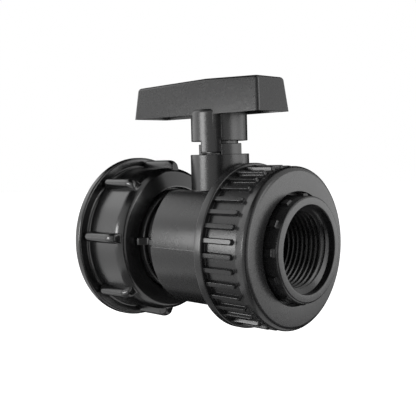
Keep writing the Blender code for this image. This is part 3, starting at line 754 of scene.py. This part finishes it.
class VALVE_OT_union_nut(Builder, bpy.types.Operator):
    """Build the union nut with its narrow grip ribs, wide rims and inner thread"""

    bl_idname = "valve.union_nut"
    bl_label = "Union nut"

    def build(self, context):
        ribs = context.scene.valve_grip.union_ribs
        height = context.scene.valve_grip.rib_height / MM
        pitch = context.scene.valve_threads.union_pitch / MM
        offsets = mirrored([0.0, 0.6, 1.1, 1.35, 1.5, 1.6, 1.7, 1.8, 1.9, 2.0, 2.1, 2.2, 2.35, 2.7, 3.3, 4.1])
        angles = repeated_angles(offsets + [5.0], ribs)
        back, face, barrel = UNION_BACK, UNION_FACE, 31.8
        mid_rib, rib_end, tip, rib_half, flank = 32.5, 67.1, 1.2, 1.25, 0.46

        def relief(along, out, turn):
            offset = from_centre(turn[0], [360.0 * k / ribs for k in range(ribs)])
            side = np.abs(np.repeat((offset * mid_rib)[None, :], len(along), axis=0))
            ahead = np.maximum(0.0, along - (rib_end - tip))
            reach = (side ** 3 + ahead ** 3) ** (1.0 / 3.0)
            rise = height * smooth_step((rib_half - reach) / flank)
            on_skin = (np.abs(out - barrel) < 0.3) & (along > 53.05) & (along < 68.4)
            return np.where(on_skin, out + rise, out)

        curl, rim = 2.2, 32.7
        lip = [(face - curl + curl * math.sin(a), rim - curl + curl * math.cos(a))
               for a in np.linspace(0.0, math.pi / 2.0, 19)]
        outer = rounded([
            (back + 0.6, 28.5), (back, 28.9, 0.2), (back, 34.2, 0.7), (53.0, 34.2, 0.5), (53.0, barrel, 0.3),
            (68.2, barrel, 1.5), *lip, (face, 22.6, 0.35), (69.6, 22.6, 0.2), (69.6, 28.5, 0.2), (68.8, 28.5),
        ], 8.0)
        places = [53.35, 53.5, 54.0, *np.arange(56.0, 65.6, 1.6), *np.arange(65.7, 67.4, 0.12)]
        outer = restepped(outer, barrel, places)
        tooth = [(0.0, 28.5), (0.14, 28.5), (0.2, 28.42), (0.42, 27.62), (0.47, 27.55), (0.62, 27.55), (0.67, 27.62),
                 (0.9, 28.42)]

        def lead_in(along, out):
            return np.maximum(out, np.maximum(28.5 - (along - back - 0.6), 28.5 - (68.8 - along)))

        skin = Skin().strip(along_pipe(outer, angles, relief))
        skin.strip(helix(back + 0.6, 68.8, pitch, tooth, angles, lead_in))
        nut = shown("union_nut_shell", skin.mesh())
        dressed(nut, "union", ["union_nut"], body_plastic())


class VALVE_OT_connector(Builder, bpy.types.Operator):
    """Build the outlet connector with its twelve lugs, lead-in chamfer and pipe thread"""

    bl_idname = "valve.connector"
    bl_label = "Outlet connector"

    def build(self, context):
        lugs = context.scene.valve_grip.lugs
        height = context.scene.valve_grip.lug_height / MM
        pitch = context.scene.valve_threads.pipe_pitch / MM
        first, radius, mid_lug = 177.0, 21.05, 21.5
        lug_half, lug_back, lug_front, flank = 1.66, 73.84, 77.26, 0.34
        offsets = mirrored([0.0, 1.6, 2.9, 3.5, 3.8, 4.0, 4.2, 4.4, 4.6, 4.9, 5.6, 7.2, 9.4, 12.2])
        angles = repeated_angles(offsets + [15.0], lugs, first)

        def relief(along, out, turn):
            offset = from_centre(turn[0], [first + 360.0 * k / lugs for k in range(lugs)])
            side = np.abs(np.repeat((offset * mid_lug)[None, :], len(along), axis=0))
            inside = np.minimum(lug_half - side, np.minimum(along - lug_back, lug_front - along))
            rise = height * smooth_step(inside / flank)
            on_skin = (np.abs(out - radius) < 0.05) & (along > 73.5) & (along < 77.6)
            return np.where(on_skin, out + rise, out)

        line = rounded([
            (76.7, 17.4), (76.8, 17.55), (NOSE, 17.55, 0.35), (NOSE, radius, 0.8),
            (69.3, radius, 0.3), (69.3, 27.0, 0.4), (62.9, 27.0, 0.3), (62.9, 26.2, 0.1), (64.7, 26.2, 0.2),
            (64.7, 23.8, 0.2), (62.9, 23.8, 0.1), (62.9, 19.0, 0.3), (54.7, 19.0, 0.5), (54.7, 17.2, 0.3),
            (55.5, 16.7),
        ], 9.0)
        places = [72.0, 73.5, *np.arange(73.78, 74.3, 0.06), 75.5, *np.arange(76.8, 77.33, 0.06)]
        line = restepped(line, radius, places)
        crest, root = 15.145, 16.625
        tooth = []
        for share, depth in ((0.0, 1.0), (0.05, 0.985), (0.1, 0.93), (0.15, 0.84), (0.35, 0.16), (0.4, 0.07),
                             (0.45, 0.015), (0.5, 0.0), (0.55, 0.015), (0.6, 0.07), (0.65, 0.16), (0.85, 0.84),
                             (0.9, 0.93), (0.95, 0.985)):
            tooth.append((share, crest + (root - crest) * depth))

        def lead_in(along, out):
            return np.maximum(out, np.maximum(17.4 - (76.7 - along) * 1.7, 16.7 - (along - 55.5)))

        skin = Skin().strip(along_pipe(line, angles, relief))
        skin.strip(helix(55.5, 76.7, pitch, tooth, angles, lead_in))
        connector = shown("connector_shell", skin.mesh())
        dressed(connector, "connector", ["end_connector"], body_plastic())


class VALVE_OT_ball(Builder, bpy.types.Operator):
    """Build the ball with its bore and the slot for the stem"""

    bl_idname = "valve.ball"
    bl_label = "Ball"

    def build(self, context):
        radius, bore = 19.0, 12.5
        first = math.asin(bore / radius)
        sweep = np.linspace(math.pi - first, first, 60)
        line = np.stack((STEM_X + radius * np.cos(sweep), radius * np.sin(sweep)), -1)
        line = np.concatenate((line, [[STEM_X, bore]], line[:1]))
        ball = shown("ball_shell", Skin().strip(along_pipe(line, even_angles(160))).mesh())
        slot = block((STEM_X - 3.0, -20.0, 14.6), (STEM_X + 3.0, 20.0, 21.0), 0.2)
        cut_or_join(ball, slot, "DIFFERENCE")
        dressed(finished(ball), "shut_off", ["ball"], body_plastic())


class VALVE_OT_stem(Builder, bpy.types.Operator):
    """Build the stem with its tang, flange, ring grooves and square head"""

    bl_idname = "valve.stem"
    bl_label = "Stem"

    def build(self, context):
        line = rounded([
            (19.6, 0.0), (19.6, 9.1, 0.3), (22.2, 9.1, 0.3), (22.2, 6.7, 0.2), (27.0, 6.7, 0.15), (27.0, 5.0, 0.2),
            (29.0, 5.0, 0.2), (29.0, 6.7, 0.15), (32.5, 6.7, 0.15), (32.5, 5.0, 0.2), (34.5, 5.0, 0.2),
            (34.5, 6.7, 0.15), (38.1, 6.7, 0.3), (38.1, 0.0),
        ])
        stem = shown("stem_shell", Skin().strip(about_stem(line, even_angles(96))).mesh())
        cut_or_join(stem, block((STEM_X - 2.7, -5.5, 14.9), (STEM_X + 2.7, 5.5, 20.5), 0.3), "UNION")
        cut_or_join(stem, block((STEM_X - 4.2, -4.2, 37.0), (STEM_X + 4.2, 4.2, STEM_TOP), 0.6), "UNION")
        dressed(finished(stem), "lever", ["stem"], body_plastic())


class VALVE_OT_tank_adaptor(Builder, bpy.types.Operator):
    """Build the flanged spigot that the tank nut turns on"""

    bl_idname = "valve.tank_adaptor"
    bl_label = "Tank adaptor"

    def build(self, context):
        line = rounded([
            (2.3, 20.0), (2.3, 26.6, 0.4), (4.3, 26.6, 0.3), (4.3, 21.0, 0.4), (17.1, 21.0, 0.2), (17.1, 20.3, 0.1),
            (19.9, 20.3, 0.15), (19.9, 18.7, 0.2), (21.5, 18.7, 0.2), (21.5, 20.3, 0.15), (22.6, 20.3, 0.3),
            (22.6, 17.3), (17.7, 17.3), (17.7, 16.2), (15.9, 16.2), (15.9, 14.0), (17.7, 14.0), (17.7, 12.5, 0.2),
            (0.8, 12.5, 0.5), (0.8, 14.6, 0.2), (2.3, 14.6, 0.1), (2.3, 20.0),
        ])
        spigot = shown("adaptor_shell", Skin().strip(along_pipe(line, even_angles(200))).mesh())
        dressed(spigot, "valve", ["tank_adaptor"], body_plastic())


class VALVE_OT_seats(Builder, bpy.types.Operator):
    """Build the two seats, the threaded seat carrier and the stem washer"""

    bl_idname = "valve.seats"
    bl_label = "Seats and carrier"

    def build(self, context):
        rub = 19.3
        sweep = np.linspace(math.asin(13.0 / rub), math.asin(15.8 / rub), 10)
        for side, node in ((-1.0, "seat_ring_inlet"), (1.0, "seat_ring_outlet")):
            face = np.stack((rub * np.cos(sweep), rub * np.sin(sweep)), -1)
            rest = rounded([face[-1], (11.1, 17.0, 0.2), (16.0, 17.0, 0.3), (16.0, 13.0, 0.3), face[0]])
            line = np.concatenate((face, rest[1:]))
            line[:, 0] = STEM_X + side * line[:, 0]
            seat = shown(node + "_shell", Skin().strip(along_pipe(line, even_angles(160))).mesh())
            dressed(seat, "valve", [node], seat_plastic())
        line = rounded([
            (45.5, 18.0), (45.5, 19.6, 0.3), (47.4, 19.6), (47.4, 22.6, 0.3), (50.2, 22.6, 0.15), (50.2, 20.9, 0.2),
            (52.4, 20.9, 0.2), (52.4, 22.6, 0.15), (62.1, 22.6, 0.4), (62.1, 19.4, 0.4), (54.4, 19.4, 0.2),
            (54.4, 12.5, 0.4), (50.3, 12.5, 0.2), (50.3, 14.0), (52.1, 14.0), (52.1, 16.2), (50.3, 16.2),
            (50.3, 17.3, 0.1), (45.5, 17.3, 0.1), (45.5, 18.0),
        ])
        carrier = shown("carrier_shell", Skin().strip(along_pipe(line, even_angles(200))).mesh())
        cut_or_join(carrier, block((58.9, -24.0, -2.0), (64.0, 24.0, 2.0), 0.2), "DIFFERENCE")
        dressed(finished(carrier), "valve", ["seat_carrier"], body_plastic())
        line = rounded([
            (22.5, 8.0), (22.5, 9.1, 0.2), (23.7, 9.1, 0.2), (23.7, 7.0, 0.2), (22.5, 7.0, 0.2), (22.5, 8.0),
        ])
        washer = shown("washer_shell", Skin().strip(about_stem(line, even_angles(96))).mesh())
        dressed(washer, "valve", ["stem_washer"], seat_plastic())


class VALVE_OT_gasket(Builder, bpy.types.Operator):
    """Build the flat tank gasket"""

    bl_idname = "valve.gasket"
    bl_label = "Tank gasket"

    def build(self, context):
        low, high = extent("tank_gasket")
        back, front, outer = float(low[0]), float(high[0]), float(high[1])
        line = rounded([
            (back, 20.0), (back, outer, 0.4), (front, outer, 0.4), (front, 15.0, 0.3), (back, 15.0, 0.3),
            (back, 20.0),
        ])
        gasket = shown("gasket_shell", Skin().strip(along_pipe(line, even_angles(200))).mesh())
        dressed(gasket, "valve", ["tank_gasket"], ring_rubber())


class VALVE_OT_rings(Builder, bpy.types.Operator):
    """Give the sealing rings their rubber"""

    bl_idname = "valve.rings"
    bl_label = "Sealing rings"

    def build(self, context):
        names = ("seat_o_ring_inlet", "seat_o_ring_outlet", "adaptor_o_ring", "carrier_o_ring", "union_o_ring",
                 "stem_o_ring_lower", "stem_o_ring_upper")
        for name in names:
            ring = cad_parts[name]
            ring.data.materials.clear()
            ring.data.materials.append(ring_rubber())
            ring.data.polygons.foreach_set("use_smooth", [True] * len(ring.data.polygons))


AIM = Vector((26.295, 0.0, 14.747))


def toward(azimuth, elevation):
    """The unit vector to an azimuth from -Y toward +X and an elevation, in degrees."""
    a, e = math.radians(azimuth), math.radians(elevation)
    return Vector((math.sin(a) * math.cos(e), -math.cos(a) * math.cos(e), math.sin(e)))


class VALVE_OT_stage(Builder, bpy.types.Operator):
    """Set the camera, the room light, the floor, the cards and the softboxes"""

    bl_idname = "valve.stage"
    bl_label = "Studio"

    def build(self, context):
        settings = context.scene.valve_stage
        self.camera(context)
        self.room(context, settings.room)
        self.floor()
        # Cards: azimuths and elevations in degrees, and glow.
        self.card("card_left", (-185.0, -95.0), (-80.0, 85.0), 0.0)
        self.card("card_top", (-95.0, 45.0), (50.0, 85.0), 0.0)
        self.card("card_front", (29.0, 54.0), (-60.0, 62.0), 0.0)
        self.card("card_below", (-95.0, 29.0), (-80.0, -38.0), 0.3)
        self.card("card_side", (-66.0, -30.0), (3.0, 30.0), 0.6)
        self.card("card_under", (60.0, 175.0), (-48.0, -18.0), 0.0)
        # Softboxes: azimuth and elevation in degrees, distance and size in metres, and radiance.
        self.softbox("softbox_left", -74.0, 15.0, 1.1, (1.03, 1.25), settings.left_lamp)
        self.softbox("key_lamp", -29.0, 8.0, 0.45, (0.19, 0.15), settings.key_lamp)
        self.softbox("softbox_right", 104.0, 8.0, 1.1, (0.56, 1.4), settings.right_lamp)
        self.softbox("low_right", 137.0, -1.0, 1.1, (0.76, 0.34), settings.low_lamp)
        context.scene.view_settings.view_transform = "Standard"

    def camera(self, context):
        """The photograph's angle: the focal length is in pixels of a frame 416 pixels wide."""
        azimuth, elevation, roll = 42.458, 4.328, math.radians(-1.581)
        distance, focal, pixels = 311.615, 711.718, 416
        back = toward(azimuth, elevation)
        right = (-back).cross(Vector((0.0, 0.0, 1.0))).normalized()
        up = right.cross(-back)
        level = right * math.cos(roll) + up * math.sin(roll)
        upright = up * math.cos(roll) - right * math.sin(roll)
        data = bpy.data.cameras.new("camera")
        data.sensor_width = 36.0
        data.lens = data.sensor_width * focal / pixels
        data.clip_start = 0.001
        data.dof.use_dof = False
        camera = bpy.data.objects.new("camera", data)
        context.scene.collection.objects.link(camera)
        place = Matrix((level, upright, back)).transposed().to_4x4()
        place.translation = (AIM + back * distance) * MM
        camera.matrix_world = place
        context.scene.camera = camera

    def room(self, context, soft):
        """White to the camera, in gloss and through glass, and softer on matt surfaces."""
        world = bpy.data.worlds.new("room")
        context.scene.world = world
        nodes = Nodes(world)
        camera, gloss, glass = (nodes.node("ShaderNodeLightPath", output="Is %s Ray" % kind)
                                for kind in ("Camera", "Glossy", "Transmission"))
        seen = camera.math("MAXIMUM", gloss).math("MAXIMUM", glass)
        level = nodes.node("ShaderNodeMapRange", None, {"Value": seen, "To Min": soft, "To Max": 1.0})
        shell = nodes.node("ShaderNodeBackground", None, {"Color": WHITE, "Strength": level})
        output = nodes.tree.nodes.new("ShaderNodeOutputWorld")
        nodes.feed(output.inputs["Surface"], shell)

    def floor(self):
        """A round pale floor, lifted to white where the camera sees it, with the valve's shadow left on it."""
        bm = bmesh.new()
        bmesh.ops.create_circle(bm, cap_ends=True, segments=96, radius=6.0)
        floor = shown("floor", bm)
        floor.location.z = -0.25
        finish = Finish("floor_white")
        glow = 0.4
        tone = finish.mix(finish.noise(1.5, 2.0), tinted(WHITE, 0.78), tinted(WHITE, 0.81))
        floor.data.materials.append(finish.shade(
            Base_Color=tone, Roughness=0.9, Emission_Color=WHITE, Emission_Strength=glow))
        matt = Value(finish, finish.surface.outputs[0])
        white = finish.node("ShaderNodeEmission", None, {"Strength": glow})
        lifted = finish.node("ShaderNodeAddShader", None, [matt, white])
        seen = finish.node("ShaderNodeLightPath", output="Is Camera Ray")
        chosen = finish.node("ShaderNodeMixShader", None, [seen, matt, lifted])
        finish.feed(finish.output.inputs["Surface"], chosen)

    def card(self, name, span, rise, glow):
        """A dark or grey card, part of a dome, that only reflections see."""
        skin = Skin()
        across = np.radians(np.linspace(span[0], span[1], 40))
        upward = np.radians(np.linspace(rise[0], rise[1], 30))
        reach, above_floor = 1600.0, 240.0
        turn, lift = np.meshgrid(across, upward)
        radius = np.where(lift < -0.12, np.minimum(reach, above_floor / np.maximum(np.sin(-lift), 0.05)), reach)
        grid = np.stack((STEM_X + radius * np.sin(turn) * np.cos(lift), -radius * np.cos(turn) * np.cos(lift),
                         radius * np.sin(lift)), -1)
        made = shown(name, skin.strip(grid).mesh())
        finish = Finish(name + "_black")
        made.data.materials.append(finish.shade(
            Base_Color=(0.0, 0.0, 0.0, 1.0), Roughness=1.0, Specular_IOR_Level=0.0,
            Emission_Color=WHITE, Emission_Strength=glow))
        made.visible_camera = False
        made.visible_diffuse = False
        made.visible_shadow = False
        made.visible_transmission = False

    def softbox(self, name, azimuth, elevation, distance, size, radiance):
        """A rectangular lamp that faces the stem from a distance in metres."""
        data = bpy.data.lights.new(name, "AREA")
        data.shape = "RECTANGLE"
        data.size, data.size_y = size
        data.energy = radiance * math.pi * size[0] * size[1]
        lamp = bpy.data.objects.new(name, data)
        bpy.context.scene.collection.objects.link(lamp)
        direction = toward(azimuth, elevation)
        lamp.location = Vector((STEM_X * MM, 0.0, 0.0)) + direction * distance
        lamp.rotation_euler = direction.to_track_quat("Z", "Y").to_euler()
        lamp.visible_camera = False


class VALVE_PT_panel(bpy.types.Panel):
    """Lists the valve's settings and the operators that build it"""

    bl_label = "Tank valve"
    bl_idname = "VALVE_PT_panel"
    bl_space_type = "VIEW_3D"
    bl_region_type = "UI"
    bl_category = "Tank valve"

    def draw(self, context):
        layout = self.layout
        for group in ("valve_finish", "valve_threads", "valve_grip", "valve_stage"):
            settings = getattr(context.scene, group)
            for name in settings.bl_rna.properties.keys():
                if name not in ("rna_type", "name"):
                    layout.prop(settings, name)
        for operator in OPERATORS:
            layout.operator(operator.bl_idname)


SETTINGS = {
    "valve_finish": FinishSettings,
    "valve_threads": ThreadSettings,
    "valve_grip": GripSettings,
    "valve_stage": StageSettings,
}
OPERATORS = (
    VALVE_OT_tank_nut,
    VALVE_OT_spacer_ring,
    VALVE_OT_body,
    VALVE_OT_handle,
    VALVE_OT_union_nut,
    VALVE_OT_connector,
    VALVE_OT_ball,
    VALVE_OT_stem,
    VALVE_OT_tank_adaptor,
    VALVE_OT_seats,
    VALVE_OT_gasket,
    VALVE_OT_rings,
    VALVE_OT_stage,
)


def register():
    for group in SETTINGS.values():
        bpy.utils.register_class(group)
    for operator in OPERATORS:
        bpy.utils.register_class(operator)
    bpy.utils.register_class(VALVE_PT_panel)
    for name, group in SETTINGS.items():
        setattr(bpy.types.Scene, name, bpy.props.PointerProperty(type=group))


def unregister():
    for name in SETTINGS:
        delattr(bpy.types.Scene, name)
    bpy.utils.unregister_class(VALVE_PT_panel)
    for operator in reversed(OPERATORS):
        bpy.utils.unregister_class(operator)
    for group in reversed(SETTINGS.values()):
        bpy.utils.unregister_class(group)


def main():
    register()
    for operator in OPERATORS:
        group, name = operator.bl_idname.split(".")
        getattr(getattr(bpy.ops, group), name)()


if __name__ == "__main__":
    main()
